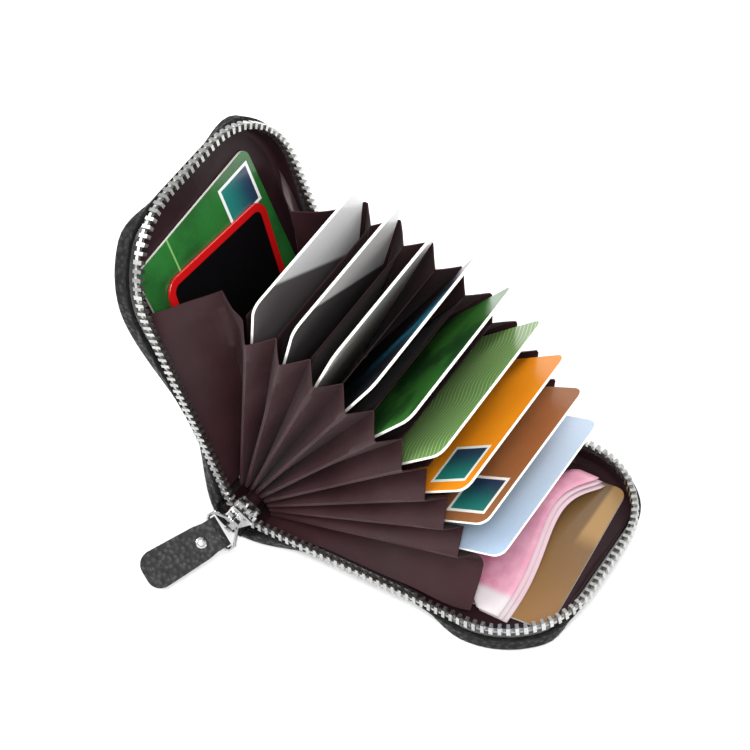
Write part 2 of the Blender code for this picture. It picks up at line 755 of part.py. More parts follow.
def make_pull(frame):
    """The leather pull: a strip folded over the ring's bar, widening to a rounded tip."""
    reach = PULL_END_WIDTH
    strip = prism("pull_leather", pull_profile(), -reach, reach, PULL_FINISH, axis="Y")
    strip.parent = frame
    bore = RING_WIRE / 2 + PULL_FOLD_GAP
    circle = arc(0, 0, bore, 0, math.tau, ROUND_FACETS)[:-1]
    bar = prism("pull_loop_bore", circle, -reach, reach, None, CUTTERS, axis="Y")
    bar.parent = frame
    trim_pull_sides(strip, frame)
    cut_keeping_place(strip, bar)
    hole_radius = RIVET_SHANK_RADIUS + RIVET_HOLE_GAP
    hole = prism(
        "rivet_hole",
        arc(RIVET_PLACE, 0, hole_radius, 0, math.tau, ROUND_FACETS)[:-1],
        -PULL_END_WIDTH,
        PULL_END_WIDTH,
        None,
        CUTTERS,
    )
    hole.parent = frame
    cut_keeping_place(strip, hole)


def cut_keeping_place(obj, cutter):
    boolean = obj.modifiers.new("Cut " + cutter.name, "BOOLEAN")
    boolean.operation = "DIFFERENCE"
    boolean.solver = "EXACT"
    boolean.object = cutter
    cutter.hide_render = True
    cutter.display_type = "WIRE"


def trim_pull_sides(strip, frame):
    """Keeps what lies inside the pull's face outline, which widens to a rounded tip."""
    root, tip = PULL_NECK_WIDTH / 2, PULL_END_WIDTH / 2
    radius = PULL_CORNER_RADIUS
    start = -RING_WIRE - PULL_FOLD_GAP - PULL_LEATHER
    quarter = math.pi / 2
    outline = [(start, -root), (PULL_NECK_END, -root), (RIVET_PLACE, -tip + RING_WIRE / 2)]
    outline += arc(PULL_LENGTH - radius, -tip + radius, radius, -quarter, 0, CORNER_STEPS)
    outline += arc(PULL_LENGTH - radius, tip - radius, radius, 0, quarter, CORNER_STEPS)
    outline += [(RIVET_PLACE, tip - RING_WIRE / 2), (PULL_NECK_END, root), (start, root)]
    face = prism("pull_face", outline, -PULL_END_WIDTH, PULL_END_WIDTH, None, CUTTERS)
    face.parent = frame
    boolean = strip.modifiers.new("Face outline", "BOOLEAN")
    boolean.operation = "INTERSECT"
    boolean.solver = "EXACT"
    boolean.object = face
    face.hide_render = True
    face.display_type = "WIRE"


def turned(name, profile, finish):
    """A solid of revolution about its own Z axis, from (radius, height) points."""
    bm = bmesh.new()
    rings = []
    for radius, height in profile:
        if radius == 0:
            rings.append([bm.verts.new((0, 0, height))])
            continue
        ring = []
        for step in range(ROUND_FACETS):
            angle = math.tau * step / ROUND_FACETS
            ring.append(bm.verts.new((radius * math.cos(angle), radius * math.sin(angle), height)))
        rings.append(ring)
    for ring, following in zip(rings, rings[1:]):
        for step in range(ROUND_FACETS):
            beside = (step + 1) % ROUND_FACETS
            corners = [ring[step % len(ring)], ring[beside % len(ring)]]
            corners += [following[beside % len(following)], following[step % len(following)]]
            bm.faces.new(list(dict.fromkeys(corners)))
    return from_bmesh(name, bm, finish)


def make_rivet(frame):
    """The domed rivet that holds the fold shut, with its flat head at the back."""
    face = PULL_LEATHER + PULL_FOLD_GAP / 2 + RIVET_SEAT_GAP
    profile = [(0, -face - RIVET_BACK_HEIGHT), (RIVET_DOME_RADIUS, -face - RIVET_BACK_HEIGHT)]
    profile += [(RIVET_DOME_RADIUS, -face), (RIVET_SHANK_RADIUS, -face), (RIVET_SHANK_RADIUS, face)]
    for height_share, radius_share in DOME_SHARES:
        height = face + RIVET_DOME_HEIGHT * height_share
        profile.append((RIVET_DOME_RADIUS * radius_share, height))
    rivet = turned("pull_rivet", profile, CHROME)
    rivet.parent = frame
    rivet.location = (RIVET_PLACE, 0, 0)
    rivet.rotation_euler = (math.pi, 0, 0)


def make_zip_pull():
    """The slider stands at the front of the spine, halfway between the covers."""
    frame = add_empty("slider_frame")
    frame.location = (AXIS_X, -ZIP_LINE, AXIS_HEIGHT)
    frame.rotation_euler = (math.pi / 2, -BISECTOR, 0)
    make_slider(frame)
    ring_frame = add_empty("ring_frame", frame)
    bar_height = SLIDER_CHANNEL / 2 + SLIDER_PLATE + RING_BAR_HEIGHT
    ring_frame.location = (0, 0, bar_height)
    ring_frame.rotation_mode = "ZYX"
    ring_frame.rotation_euler = (-RING_SKEW, -math.pi / 2 - PULL_DROOP, 0)
    make_ring(ring_frame)
    pull_frame = add_empty("pull_frame", ring_frame)
    pull_frame.location = (RING_LENGTH, 0, 0)
    make_pull(pull_frame)
    make_rivet(pull_frame)


def shade_round_pieces():
    for obj in PARTS.objects:
        if obj.type == "MESH":
            obj.data.shade_smooth()
            obj.data.set_sharp_from_angle(angle=math.radians(30))


clear_scene()
PARTS = new_collection("mini_wallet", False)
CUTTERS = new_collection("mini_wallet_cutters", True)

LEATHER = material("pebbled black leather", (0.018, 0.017, 0.017), 0.5)
PULL_FINISH = material("pull leather", (0.02, 0.019, 0.019), 0.5)
SATIN = material("brown satin lining", (0.065, 0.04, 0.042), 0.45)
PAGE_FABRIC = material("page fabric", (0.03, 0.02, 0.022), 0.55)
TAPE = material("zip tape", (0.01, 0.01, 0.01), 0.8)
STEEL = material("zip teeth nickel", (0.72, 0.72, 0.7), 0.25, 1.0)
CHROME = material("slider chrome", (0.8, 0.8, 0.8), 0.12, 1.0)
NOTE_PAPER = material("pink notes", (0.85, 0.45, 0.55), 0.8)
GOLD_CARD = material("gold card", (0.5, 0.33, 0.12), 0.35)
GREEN_CARD = material("green card", (0.05, 0.4, 0.09), 0.35)
RED_CARD = material("red edged black card", (0.3, 0.01, 0.01), 0.35)
CARD_FINISHES = [
    material("pale blue card", (0.45, 0.57, 0.75), 0.35),
    material("bronze card", (0.42, 0.27, 0.11), 0.35),
    material("orange card", (0.85, 0.36, 0.02), 0.35),
    material("leaf green card", (0.1, 0.38, 0.05), 0.35),
    material("dark green card", (0.03, 0.2, 0.04), 0.35),
    material("deep blue card", (0.02, 0.05, 0.12), 0.35),
    material("white card", (0.8, 0.8, 0.8), 0.35),
    material("grey white card", (0.7, 0.7, 0.7), 0.35),
    material("white striped card", (0.75, 0.75, 0.75), 0.35),
]

for side, angle in (("lower", 0.0), ("upper", COVER_OPENING)):
    make_cover(side, angle)
    make_lining(side, angle)
    make_tape(side, angle)
    make_teeth(side, angle)
make_spine()
make_core()
make_pages()
make_pockets()
make_space_contents()
make_gusset("front_gusset", -1)
make_gusset("back_gusset", 1)
make_zip_pull()
shade_round_pieces()
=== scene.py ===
"""The mini wallet's looks: leather, satin, notes, cards, materials, light and camera."""

import math

import bmesh
import bpy
from mathutils import Matrix, Vector, noise


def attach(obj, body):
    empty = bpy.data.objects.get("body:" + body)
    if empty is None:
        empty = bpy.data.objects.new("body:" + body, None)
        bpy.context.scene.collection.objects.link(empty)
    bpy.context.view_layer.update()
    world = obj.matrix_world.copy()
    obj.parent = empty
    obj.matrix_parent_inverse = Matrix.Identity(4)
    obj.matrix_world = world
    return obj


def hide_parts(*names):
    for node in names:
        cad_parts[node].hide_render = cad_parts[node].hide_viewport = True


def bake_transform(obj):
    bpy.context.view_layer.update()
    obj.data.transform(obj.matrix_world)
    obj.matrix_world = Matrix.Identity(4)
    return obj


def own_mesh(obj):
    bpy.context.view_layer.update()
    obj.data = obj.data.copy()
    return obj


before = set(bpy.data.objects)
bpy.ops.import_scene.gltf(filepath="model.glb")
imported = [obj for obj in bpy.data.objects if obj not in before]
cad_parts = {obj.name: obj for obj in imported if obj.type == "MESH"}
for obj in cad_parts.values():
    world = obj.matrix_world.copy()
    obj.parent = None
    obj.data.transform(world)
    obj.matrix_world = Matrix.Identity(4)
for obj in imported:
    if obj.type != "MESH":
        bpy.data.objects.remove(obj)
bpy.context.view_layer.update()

# Sizes repeated from the CAD, in metres and radians
REACH, HALF_WIDTH, CORNER = 0.103, 0.0375, 0.028
HALF_THICKNESS = 0.0095
AXIS = Vector((-REACH / 2, 0.0, HALF_THICKNESS))
STRAIGHT = REACH - CORNER
LEATHER = 0.0014
OPENING = math.radians(104.0)
FIRST_PAGE = math.radians(14.8)
POCKET_STEP = math.radians(7.65)
POCKETS = 9
PAGE_LOW, PAGE_PITCH = -0.0052, 0.00108
MOUTH = 0.074
GUSSET_START = 0.005
OUTER_FOLD, INNER_FOLD = 0.030, 0.0235
LINING_INSET, LINING_FLOOR, LINING_RIM = 0.0026, -0.0077, -0.0036
SLIDER_ROOM = 0.0075
LEATHER_TOP = -0.0045
ZIP_INSET = 0.00195
TAPE_START = 0.0058
CARD_LENGTH, HALF_CARD = 0.0856, 0.00038
FLOOR_RADIUS, CARD_GAP = 0.0025, 0.0008

# How far the leather's foot is drawn in under the zip, and where along each side that fades
SIDE_DRAW, MOUTH_DRAW = 0.0070, 0.0062
DRAW_START = (0.002, 0.030)
SIDE_FADE = {"lower": (0.053, 0.075), "upper": (0.025, 0.075)}
CORNER_FADE = (math.radians(50.0), math.radians(86.0))


def ray(angle):
    """The way out from the axis along a plane of the fan."""
    return Vector((math.cos(angle), 0.0, math.sin(angle)))


def over(angle):
    """The way square off a plane of the fan, towards the upper cover."""
    return Vector((-math.sin(angle), 0.0, math.cos(angle)))


def spot(angle, reach, offset, y=0.0):
    """A point on a plane of the fan: reach out from the axis, offset off the plane, y along the spine."""
    return AXIS + ray(angle) * reach + over(angle) * offset + Vector((0.0, y, 0.0))


def eased(value, low, high):
    """0 up to the low value, 1 from the high value, with a soft start and end between them."""
    share = min(max((value - low) / (high - low), 0.0), 1.0)
    return share * share * (3.0 - 2.0 * share)


def page_angle(number):
    return FIRST_PAGE + POCKET_STEP * number


def page_offset(number):
    return PAGE_LOW + PAGE_PITCH * number


def pocket_plane(number):
    """Angle and offset half way between two pages, where the card and the outer folds lie."""
    return page_angle(number) + POCKET_STEP / 2, page_offset(number) + PAGE_PITCH / 2


# Materials

def linear(*srgb):
    """A colour from 0 to 255 in sRGB, as the linear colour that a node takes."""
    values = []
    for value in srgb:
        share = value / 255
        values.append(share / 12.92 if share <= 0.04045 else ((share + 0.055) / 1.055) ** 2.4)
    return (*values, 1.0)


class Paint:
    """A node material, with short calls for the nodes used here."""

    def __init__(self, name, color, roughness, metallic=0.0, **sockets):
        self.material = bpy.data.materials.new(name)
        self.material.use_nodes = True
        self.tree = self.material.node_tree
        self.shader = self.tree.nodes["Principled BSDF"]
        self.shader.inputs["Base Color"].default_value = color
        self.shader.inputs["Roughness"].default_value = roughness
        self.shader.inputs["Metallic"].default_value = metallic
        for socket, value in sockets.items():
            self.shader.inputs[socket.replace("_", " ")].default_value = value
        self.place = self.add("ShaderNodeTexCoord").outputs["Object"]

    def add(self, kind, **settings):
        node = self.tree.nodes.new(kind)
        for name, value in settings.items():
            setattr(node, name, value)
        return node

    def put(self, socket, value):
        if isinstance(value, bpy.types.NodeSocket):
            self.tree.links.new(value, socket)
        else:
            socket.default_value = value

    def math(self, operation, first, second=0.0, third=0.0):
        node = self.add("ShaderNodeMath", operation=operation)
        for socket, value in zip(node.inputs, (first, second, third)):
            self.put(socket, value)
        return node.outputs[0]

    def along(self, direction, origin=(0.0, 0.0, 0.0)):
        """How far a surface point lies along a direction from an origin, in metres."""
        moved = self.add("ShaderNodeVectorMath", operation="SUBTRACT")
        self.put(moved.inputs[0], self.place)
        moved.inputs[1].default_value = origin
        dot = self.add("ShaderNodeVectorMath", operation="DOT_PRODUCT")
        self.put(dot.inputs[0], moved.outputs[0])
        dot.inputs[1].default_value = direction
        return dot.outputs["Value"]

    def noise(self, scale, detail=3.0, rough=0.5):
        node = self.add("ShaderNodeTexNoise")
        self.put(node.inputs["Vector"], self.place)
        node.inputs["Scale"].default_value = scale
        node.inputs["Detail"].default_value = detail
        node.inputs["Roughness"].default_value = rough
        return node.outputs["Fac"]

    def cells(self, scale, smooth=0.35):
        node = self.add("ShaderNodeTexVoronoi", feature="SMOOTH_F1")
        self.put(node.inputs["Vector"], self.place)
        node.inputs["Scale"].default_value = scale
        node.inputs["Smoothness"].default_value = smooth
        return node.outputs["Distance"]

    def remap(self, value, low, high, to_low=0.0, to_high=1.0):
        node = self.add("ShaderNodeMapRange")
        node.interpolation_type = "SMOOTHSTEP"
        for socket, amount in zip(node.inputs, (value, low, high, to_low, to_high)):
            self.put(socket, amount)
        return node.outputs[0]

    def mix(self, share, first, second):
        node = self.add("ShaderNodeMix", data_type="RGBA")
        self.put(node.inputs[0], share)
        self.put(node.inputs[6], first)
        self.put(node.inputs[7], second)
        return node.outputs[2]

    def color(self, value):
        self.put(self.shader.inputs["Base Color"], value)

    def roughness(self, value):
        self.put(self.shader.inputs["Roughness"], value)

    def bump(self, height, distance, strength=1.0):
        node = self.add("ShaderNodeBump")
        node.inputs["Strength"].default_value = strength
        node.inputs["Distance"].default_value = distance
        self.put(node.inputs["Height"], height)
        self.put(self.shader.inputs["Normal"], node.outputs["Normal"])


def leather(name, pebble, lift, gloss):
    """Black pebbled leather: rounded grains, dull creases between them painted darker as shade, and slight
    polish on top.
    """
    paint = Paint(name, linear(22, 22, 23), 0.5, Specular_IOR_Level=gloss)
    grains = paint.cells(pebble)
    fine = paint.noise(pebble * 4, 4.0)
    broad = paint.noise(60.0, 2.0)
    worn = paint.math("MULTIPLY", broad, 0.3)
    # Painted shade: the creases between the grains are coloured darker than the grain tops
    painted_crease_shade = paint.remap(grains, 0.25, 0.75)
    tone = paint.mix(painted_crease_shade, linear(23, 23, 24), linear(4, 4, 5))
    paint.color(paint.mix(worn, tone, linear(34, 34, 35)))
    paint.roughness(paint.remap(grains, 0.1, 0.7, 0.4, 0.75))
    height = paint.math("MULTIPLY_ADD", fine, 0.12, paint.math("SUBTRACT", 1.0, grains))
    paint.bump(height, lift, 0.9)
    return paint.material


def satin(name, tone, light, sheen):
    """Dark satin: a fine twill, slow colour drift and soft puckers."""
    paint = Paint(name, tone, 0.5, Sheen_Weight=sheen, Sheen_Roughness=0.4, Specular_IOR_Level=0.16)
    drift = paint.noise(45.0, 3.0)
    twill = paint.add("ShaderNodeTexWave", wave_type="BANDS", bands_direction="DIAGONAL")
    paint.put(twill.inputs["Vector"], paint.place)
    twill.inputs["Scale"].default_value = 2600.0
    cloud = paint.remap(drift, 0.35, 0.75, 0.0, 0.45)
    share = paint.math("MULTIPLY_ADD", twill.outputs["Fac"], 0.12, cloud)
    paint.color(paint.mix(share, tone, light))
    puckers = paint.noise(150.0, 2.0)
    paint.roughness(paint.remap(drift, 0.3, 0.8, 0.42, 0.58))
    paint.bump(puckers, 0.00035, 0.6)
    return paint.material


def metal(name, color, roughness, smudge):
    paint = Paint(name, color, roughness, 1.0)
    marks = paint.noise(420.0, 5.0, 0.6)
    paint.color(paint.mix(paint.remap(marks, 0.4, 0.8, 0.0, 0.45), color, linear(96, 94, 92)))
    paint.roughness(paint.remap(marks, 0.3, 0.8, roughness, roughness + smudge))
    paint.bump(marks, 0.00002, 0.3)
    return paint.material


def woven_tape(name):
    paint = Paint(name, linear(20, 20, 21), 0.85, Sheen_Weight=0.3)
    weave = paint.add("ShaderNodeTexChecker")
    paint.put(weave.inputs["Vector"], paint.place)
    weave.inputs["Scale"].default_value = 2400.0
    paint.color(paint.mix(weave.outputs["Fac"], linear(15, 15, 16), linear(34, 34, 35)))
    paint.bump(weave.outputs["Fac"], 0.00008, 0.7)
    return paint.material


def paper(name, pink):
    """Note paper: a soft pink wash, deeper towards the pocket, with a white margin at the front."""
    paint = Paint(name, linear(205, 180, 188), 0.85, Specular_IOR_Level=0.15)
    out = paint.along((1.0, 0.0, 0.0), tuple(AXIS))
    across = paint.along((0.0, 1.0, 0.0))
    cloud = paint.noise(160.0, 5.0, 0.6)
    wash = paint.remap(cloud, 0.3, 0.7, 0.5, 1.0)
    deep = paint.math("MULTIPLY", paint.remap(out, 0.066, 0.083, 1.0, 0.35), wash)
    tint = paint.mix(deep, linear(218, 172, 187), linear(172, 62, 106))
    fine = paint.remap(paint.noise(900.0, 3.0), 0.4, 0.7, 0.0, 0.3)
    tint = paint.mix(fine, tint, linear(214, 130, 158))
    margin = paint.remap(across, -0.0225, -0.0195)
    face = paint.mix(margin, linear(204, 196, 198), tint)
    paint.color(paint.mix(pink, linear(196, 180, 184), face))
    paint.bump(paint.noise(1800.0, 2.0), 0.00003, 0.5)
    return paint.material


# The teal block's far side across the card, its size, its distance from the card's top edge and its border
BLOCK_SIDE, BAND_BLOCK_SIDE = -0.0095, 0.0235
BLOCK_SIZE, BLOCK_TOP, BLOCK_BORDER = 0.014, 0.0025, 0.001


def card_paint(name, angle, middle, base, second, plan):
    """A card face in plain areas of colour, with a pale core at its cut edge.

    The middle is the distance from the axis that the plan is drawn from, mostly the card's top edge.
    """
    paint = Paint(name, base, 0.34, Coat_Weight=0.3, Coat_Roughness=0.14)
    out = paint.along(ray(angle), tuple(AXIS))
    across = paint.along((0.0, 1.0, 0.0))
    face = base
    wash = paint.noise(70.0, 3.0)
    if plan in ("wash", "gold"):
        # Colour runs across the card; on the gold card the second colour is painted shade towards the back
        face = paint.mix(paint.remap(across, -0.03, 0.03), base, second)
        if plan == "gold":
            # Painted highlight: a paler gold patch near the gold card's top edge, towards the back
            painted_highlight = paint.remap(out, middle - 0.007, middle - 0.0055, 0.0, 0.75)
            painted_highlight = paint.math("MULTIPLY", painted_highlight, paint.remap(across, 0.004, 0.012))
            face = paint.mix(painted_highlight, face, linear(168, 130, 76))
    elif plan == "banded":
        face = paint.mix(paint.remap(wash, 0.35, 0.65), base, second)
        line = paint.math("ABSOLUTE", paint.math("SUBTRACT", across, -0.014))
        face = paint.mix(paint.remap(line, 0.0002, 0.0004, 0.7, 0.0), face, linear(150, 200, 120))
        face = corner_block(paint, face, out, across, middle, BAND_BLOCK_SIDE)
    elif plan == "patches":
        face = paint.mix(paint.remap(wash, 0.42, 0.6), base, second)
    elif plan == "flare":
        glow = paint.math("ABSOLUTE", paint.math("SUBTRACT", across, 0.004))
        share = paint.remap(glow, 0.0, 0.013, 0.9, 0.0)
        share = paint.math("MULTIPLY", share, paint.remap(wash, 0.35, 0.65))
        face = paint.mix(share, base, second)
    elif plan == "diagonal":
        slant = paint.math("MULTIPLY_ADD", across, 0.7, out)
        face = paint.mix(paint.remap(slant, middle - 0.001, middle + 0.001), second, base)
    elif plan == "lines":
        ripple = paint.math("SINE", paint.math("MULTIPLY", across, 260.0))
        bent = paint.math("MULTIPLY_ADD", ripple, 0.0022, out)
        stripes = paint.math("SINE", paint.math("MULTIPLY", bent, 3600.0))
        face = paint.mix(paint.remap(stripes, 0.72, 0.92, 0.0, 0.7), base, second)
    if plan in ("patches", "block"):
        face = paint.mix(paint.remap(wash, 0.3, 0.8, 0.0, 0.35), face, second)
    if plan == "block":
        face = corner_block(paint, face, out, across, middle, BLOCK_SIDE)
    facing = paint.add("ShaderNodeNewGeometry")
    turned = paint.add("ShaderNodeVectorMath", operation="DOT_PRODUCT")
    paint.put(turned.inputs[0], facing.outputs["True Normal"])
    turned.inputs[1].default_value = over(angle)
    flat = paint.math("GREATER_THAN", paint.math("ABSOLUTE", turned.outputs["Value"]), 0.5)
    grain = paint.remap(paint.noise(2200.0, 2.0), 0.3, 0.75, 0.0, 0.12)
    face = paint.mix(grain, face, linear(120, 116, 110))
    paint.color(paint.mix(flat, linear(232, 230, 222), face))
    return paint.material


def inside_box(paint, out, across, low_out, high_out, low_across, high_across):
    """1 inside a rectangle of a card's face and 0 outside it."""
    share = paint.math("GREATER_THAN", out, low_out)
    share = paint.math("MULTIPLY", share, paint.math("LESS_THAN", out, high_out))
    share = paint.math("MULTIPLY", share, paint.math("GREATER_THAN", across, low_across))
    return paint.math("MULTIPLY", share, paint.math("LESS_THAN", across, high_across))


def corner_block(paint, face, out, across, top, side):
    """A plain teal block with a pale border near one mouth corner, ending at a distance across the card."""
    high, low = top - BLOCK_TOP, top - BLOCK_TOP - BLOCK_SIZE
    near, far = side - BLOCK_SIZE + BLOCK_BORDER, side - BLOCK_BORDER
    rim = inside_box(paint, out, across, low, high, side - BLOCK_SIZE, side)
    field = inside_box(paint, out, across, low + BLOCK_BORDER, high - BLOCK_BORDER, near, far)
    fade = paint.remap(across, near, far)
    teal = paint.mix(fade, linear(16, 118, 110), linear(20, 44, 78))
    return paint.mix(field, paint.mix(rim, face, linear(236, 240, 236)), teal)


SATIN = satin("gusset_satin", tone=linear(46, 25, 28), light=linear(66, 42, 45), sheen=0.03)
SATIN_FLAT = satin("lining_satin", tone=linear(34, 17, 21), light=linear(50, 29, 34), sheen=0.02)
LEATHER_SKIN = leather("cover_leather", pebble=700.0, lift=0.00035, gloss=0.22)
PULL_SKIN = leather("pull_leather_grain", pebble=700.0, lift=0.0007, gloss=0.55)
TAPE = woven_tape("zip_tape_weave")
TEETH = metal("zip_teeth_metal", linear(190, 190, 188), roughness=0.24, smudge=0.16)
BRIGHT = metal("slider_chrome", linear(222, 222, 222), roughness=0.1, smudge=0.12)
NOTE_TOP = paper("note_paper_pink", pink=0.95)
NOTE_UNDER = paper("note_paper_white", pink=0.25)


# Mesh helpers

SAME_POINT = 0.00002


def new_piece(name, vertices, faces, material, body=None, smooth=True):
    mesh = bpy.data.meshes.new(name)
    mesh.from_pydata([tuple(vertex) for vertex in vertices], [], faces)
    mesh.validate()
    bm = bmesh.new()
    bm.from_mesh(mesh)
    bmesh.ops.recalc_face_normals(bm, faces=bm.faces)
    bm.to_mesh(mesh)
    bm.free()
    piece = bpy.data.objects.new(name, mesh)
    bpy.context.scene.collection.objects.link(piece)
    mesh.materials.append(material)
    if smooth:
        mesh.shade_smooth()
    if body:
        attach(piece, body)
    return piece


def grid_faces(rows, columns, start=0):
    faces = []
    for row in range(rows - 1):
        for column in range(columns - 1):
            corner = start + row * columns + column
            faces.append((corner, corner + 1, corner + columns + 1, corner + columns))
    return faces


def apply_modifiers(piece):
    graph = bpy.context.evaluated_depsgraph_get()
    made = bpy.data.meshes.new_from_object(piece.evaluated_get(graph))
    old = piece.data
    piece.modifiers.clear()
    piece.data = made
    bpy.data.meshes.remove(old)


def merge(piece):
    """Joins the points that neighbouring grids share."""
    bm = bmesh.new()
    bm.from_mesh(piece.data)
    bmesh.ops.remove_doubles(bm, verts=bm.verts, dist=SAME_POINT)
    bmesh.ops.recalc_face_normals(bm, faces=bm.faces)
    bm.to_mesh(piece.data)
    bm.free()


def thicken(piece, thickness, offset=0.0):
    solid = piece.modifiers.new("Thickness", "SOLIDIFY")
    solid.thickness = thickness
    solid.offset = offset
    apply_modifiers(piece)


def round_edges(piece, width, degrees=30, segments=1):
    """Rounds the edges sharper than an angle."""
    bevel = piece.modifiers.new("Soft edge", "BEVEL")
    bevel.width = width
    bevel.segments = segments
    bevel.limit_method = "ANGLE"
    bevel.angle_limit = math.radians(degrees)
    apply_modifiers(piece)


def shade(piece, sharp_from):
    """Smooth shading, but for the edges sharper than an angle in degrees."""
    piece.data.shade_smooth()
    piece.data.set_sharp_from_angle(angle=math.radians(sharp_from))


def crumple(point, size, depth):
    """A smooth unevenness, always the same at a point."""
    return noise.noise(point / size) * depth


# Pleated gussets

# Folds of the two wide spaces: angle, offset off that plane, and depth along the spine
LOWER_FOLD = (math.radians(10.0), -0.00605, 0.0215)
UPPER_FOLD = (math.radians(91.5), 0.0057, 0.0170)
HALF_RIDGE = 0.0004

# The seam with a cover: inset and height at a straight wall, what a drawn-in foot adds, and the tuck
# at the mouth
SEAM_INSET, SEAM_HEIGHT = 0.0030, -0.0045
SEAM_DRAWN_INSET, SEAM_DRAWN_DROP = 0.0031, 0.0004
SEAM_BELOW_SLIDER = 0.0002
SEAM_TUCK = {"lower": 0.0045, "upper": 0.0030}

# How far a panel sags and how deep its unevenness is
LOWER_SAG, UPPER_SAG, POCKET_SAG = (0.0022, 0.0026), (0.0026, 0.0028), (0.0004, 0.0005)
SAG_FADE = 1.15
CRUMPLE_SIZE = 0.013
RADIAL_STEPS, PANEL_STEPS = 26, 7
FABRIC = 0.00028


def fold_point(line, share, sign):
    """A point on a fold, or on the seam where the line is a cover's name."""
    reach = GUSSET_START + (MOUTH - GUSSET_START) * share
    if isinstance(line, str):
        return rim_point(line, reach, share, sign)
    angle, offset, depth = line
    return spot(angle, reach, offset, sign * depth)


def rim_point(side, reach, share, sign):
    """The gusset's seam with a cover: it follows the lining's top and tucks in towards the mouth."""
    drawn = drawn_in(side, reach) / SIDE_DRAW
    depth = HALF_WIDTH - SEAM_INSET - SEAM_DRAWN_INSET * drawn - SEAM_TUCK[side] * share**6
    offset = min(SEAM_HEIGHT - SEAM_DRAWN_DROP * drawn, under_slider(reach) - SEAM_BELOW_SLIDER)
    if side == "lower":
        return spot(0.0, reach, offset, sign * depth)
    return spot(OPENING, reach, -offset, sign * depth)


def panel_points(first, second, sign, sag, crease):
    """A grid between two folds. It sags between them, up to near the mouth, and is a little uneven."""
    points = []
    for row in range(RADIAL_STEPS + 1):
        share = row / RADIAL_STEPS
        low, high = fold_point(first, share, sign), fold_point(second, share, sign)
        for column in range(PANEL_STEPS + 1):
            across = column / PANEL_STEPS
            point = low.lerp(high, across)
            swell = math.sin(math.pi * across) * math.sin(math.pi * min(share * SAG_FADE, 1.0)) ** 0.5
            inwards = -sign * sag * swell * share
            wave = crumple(point, CRUMPLE_SIZE, crease) * math.sin(math.pi * across) * share
            points.append(point + Vector((0.0, inwards + wave, 0.0)))
    return points


def gusset(name, sign, lines, sag):
    """The fabric of one end through a run of folds."""
    vertices, faces = [], []
    for first, second in zip(lines, lines[1:]):
        begin = len(vertices)
        vertices += panel_points(first, second, sign, *sag)
        faces += grid_faces(RADIAL_STEPS + 1, PANEL_STEPS + 1, begin)
    piece = new_piece(name, vertices, faces, SATIN)
    merge(piece)
    thicken(piece, FABRIC)
    shade(piece, sharp_from=50)
    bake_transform(piece)
    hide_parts("front_gusset" if sign < 0 else "back_gusset")


def page_fold(number):
    return page_angle(number), page_offset(number), INNER_FOLD


def make_gussets():
    first, last = page_fold(0), page_fold(POCKETS)
    for sign, end in ((-1, "front"), (1, "back")):
        gusset(end + "_lower_space_gusset", sign, ["lower", LOWER_FOLD, first], LOWER_SAG)
        gusset(end + "_upper_space_gusset", sign, [last, UPPER_FOLD, "upper"], UPPER_SAG)
        for number in range(POCKETS):
            low, high = page_fold(number), page_fold(number + 1)
            middle, offset = pocket_plane(number)
            ridges = [(middle, offset + side * HALF_RIDGE, OUTER_FOLD) for side in (-1, 1)]
            gusset("%s_pocket_gusset_%d" % (end, number + 1), sign, [low, *ridges, high], POCKET_SAG)


# Covers: leather, tape and lining

SIDE_ROWS, CORNER_ROWS, FLOOR_COLUMNS = 26, 18, 24
CALM_ROWS = 4
RIPPLE_SIZE, RIPPLE_LEVEL = 0.014, 0.3

# The leather's wall leans out to its top by this share of the draw. Its foot is rounded in a few steps.
LEATHER_LEAN = 0.35
FOOT_ROUNDING, FOOT_REACH = 0.0018, 0.6
FOOT_STEPS, WALL_STEPS, LINING_STEPS = 5, 4, 5

# The tape runs in from the zip, then down. Like the lining it moves in over a drawn-in foot.
TAPE_TOP, TAPE_FOLD, TAPE_FOOT, TAPE_DROP = -0.00305, -0.00312, -0.0060, 0.0001
TAPE_FOLD_DRAW, TAPE_FOOT_DRAW = 0.00145, 0.00415
LINING_FOOT_DRAW, LINING_HEAD_DRAW, LINING_HEAD_DROP = 0.0052, 0.0030, 0.0011

LEATHER_START, LINING_START = 0.0003, 0.0006
TAPE_THICKNESS, LINING, LINING_RIPPLE = 0.0004, 0.00018, 0.0001


def under_slider(out):
    """The height over which the slider's room begins, near the axis."""
    return -math.sqrt(max(SLIDER_ROOM**2 - out**2, 0.0))


def drawn_in(side, out, turn=0.0):
    """How far the leather's foot is drawn in under the zip: least at the spine and at the round corners."""
    if turn:
        return MOUTH_DRAW * eased(turn, *CORNER_FADE)
    return SIDE_DRAW * eased(out, *DRAW_START) * (1.0 - eased(out, *SIDE_FADE[side]))


def edge_stations(side, start):
    """Half a cover's edge from the axis to the mouth: place, way out of the cover and how far drawn in."""
    found = []
    for step in range(SIDE_ROWS):
        out = start + (STRAIGHT - start) * step / SIDE_ROWS
        found.append((out, HALF_WIDTH, 0.0, 1.0, drawn_in(side, out)))
    for step in range(CORNER_ROWS + 1):
        turn = math.pi / 2 * step / CORNER_ROWS
        out, half = STRAIGHT + CORNER * math.sin(turn), HALF_WIDTH - CORNER + CORNER * math.cos(turn)
        # A turn of 0 means the straight side, so the corner's first row gets a very small one
        found.append((out, half, math.sin(turn), math.cos(turn), drawn_in(side, out, max(turn, 0.001))))
    return found


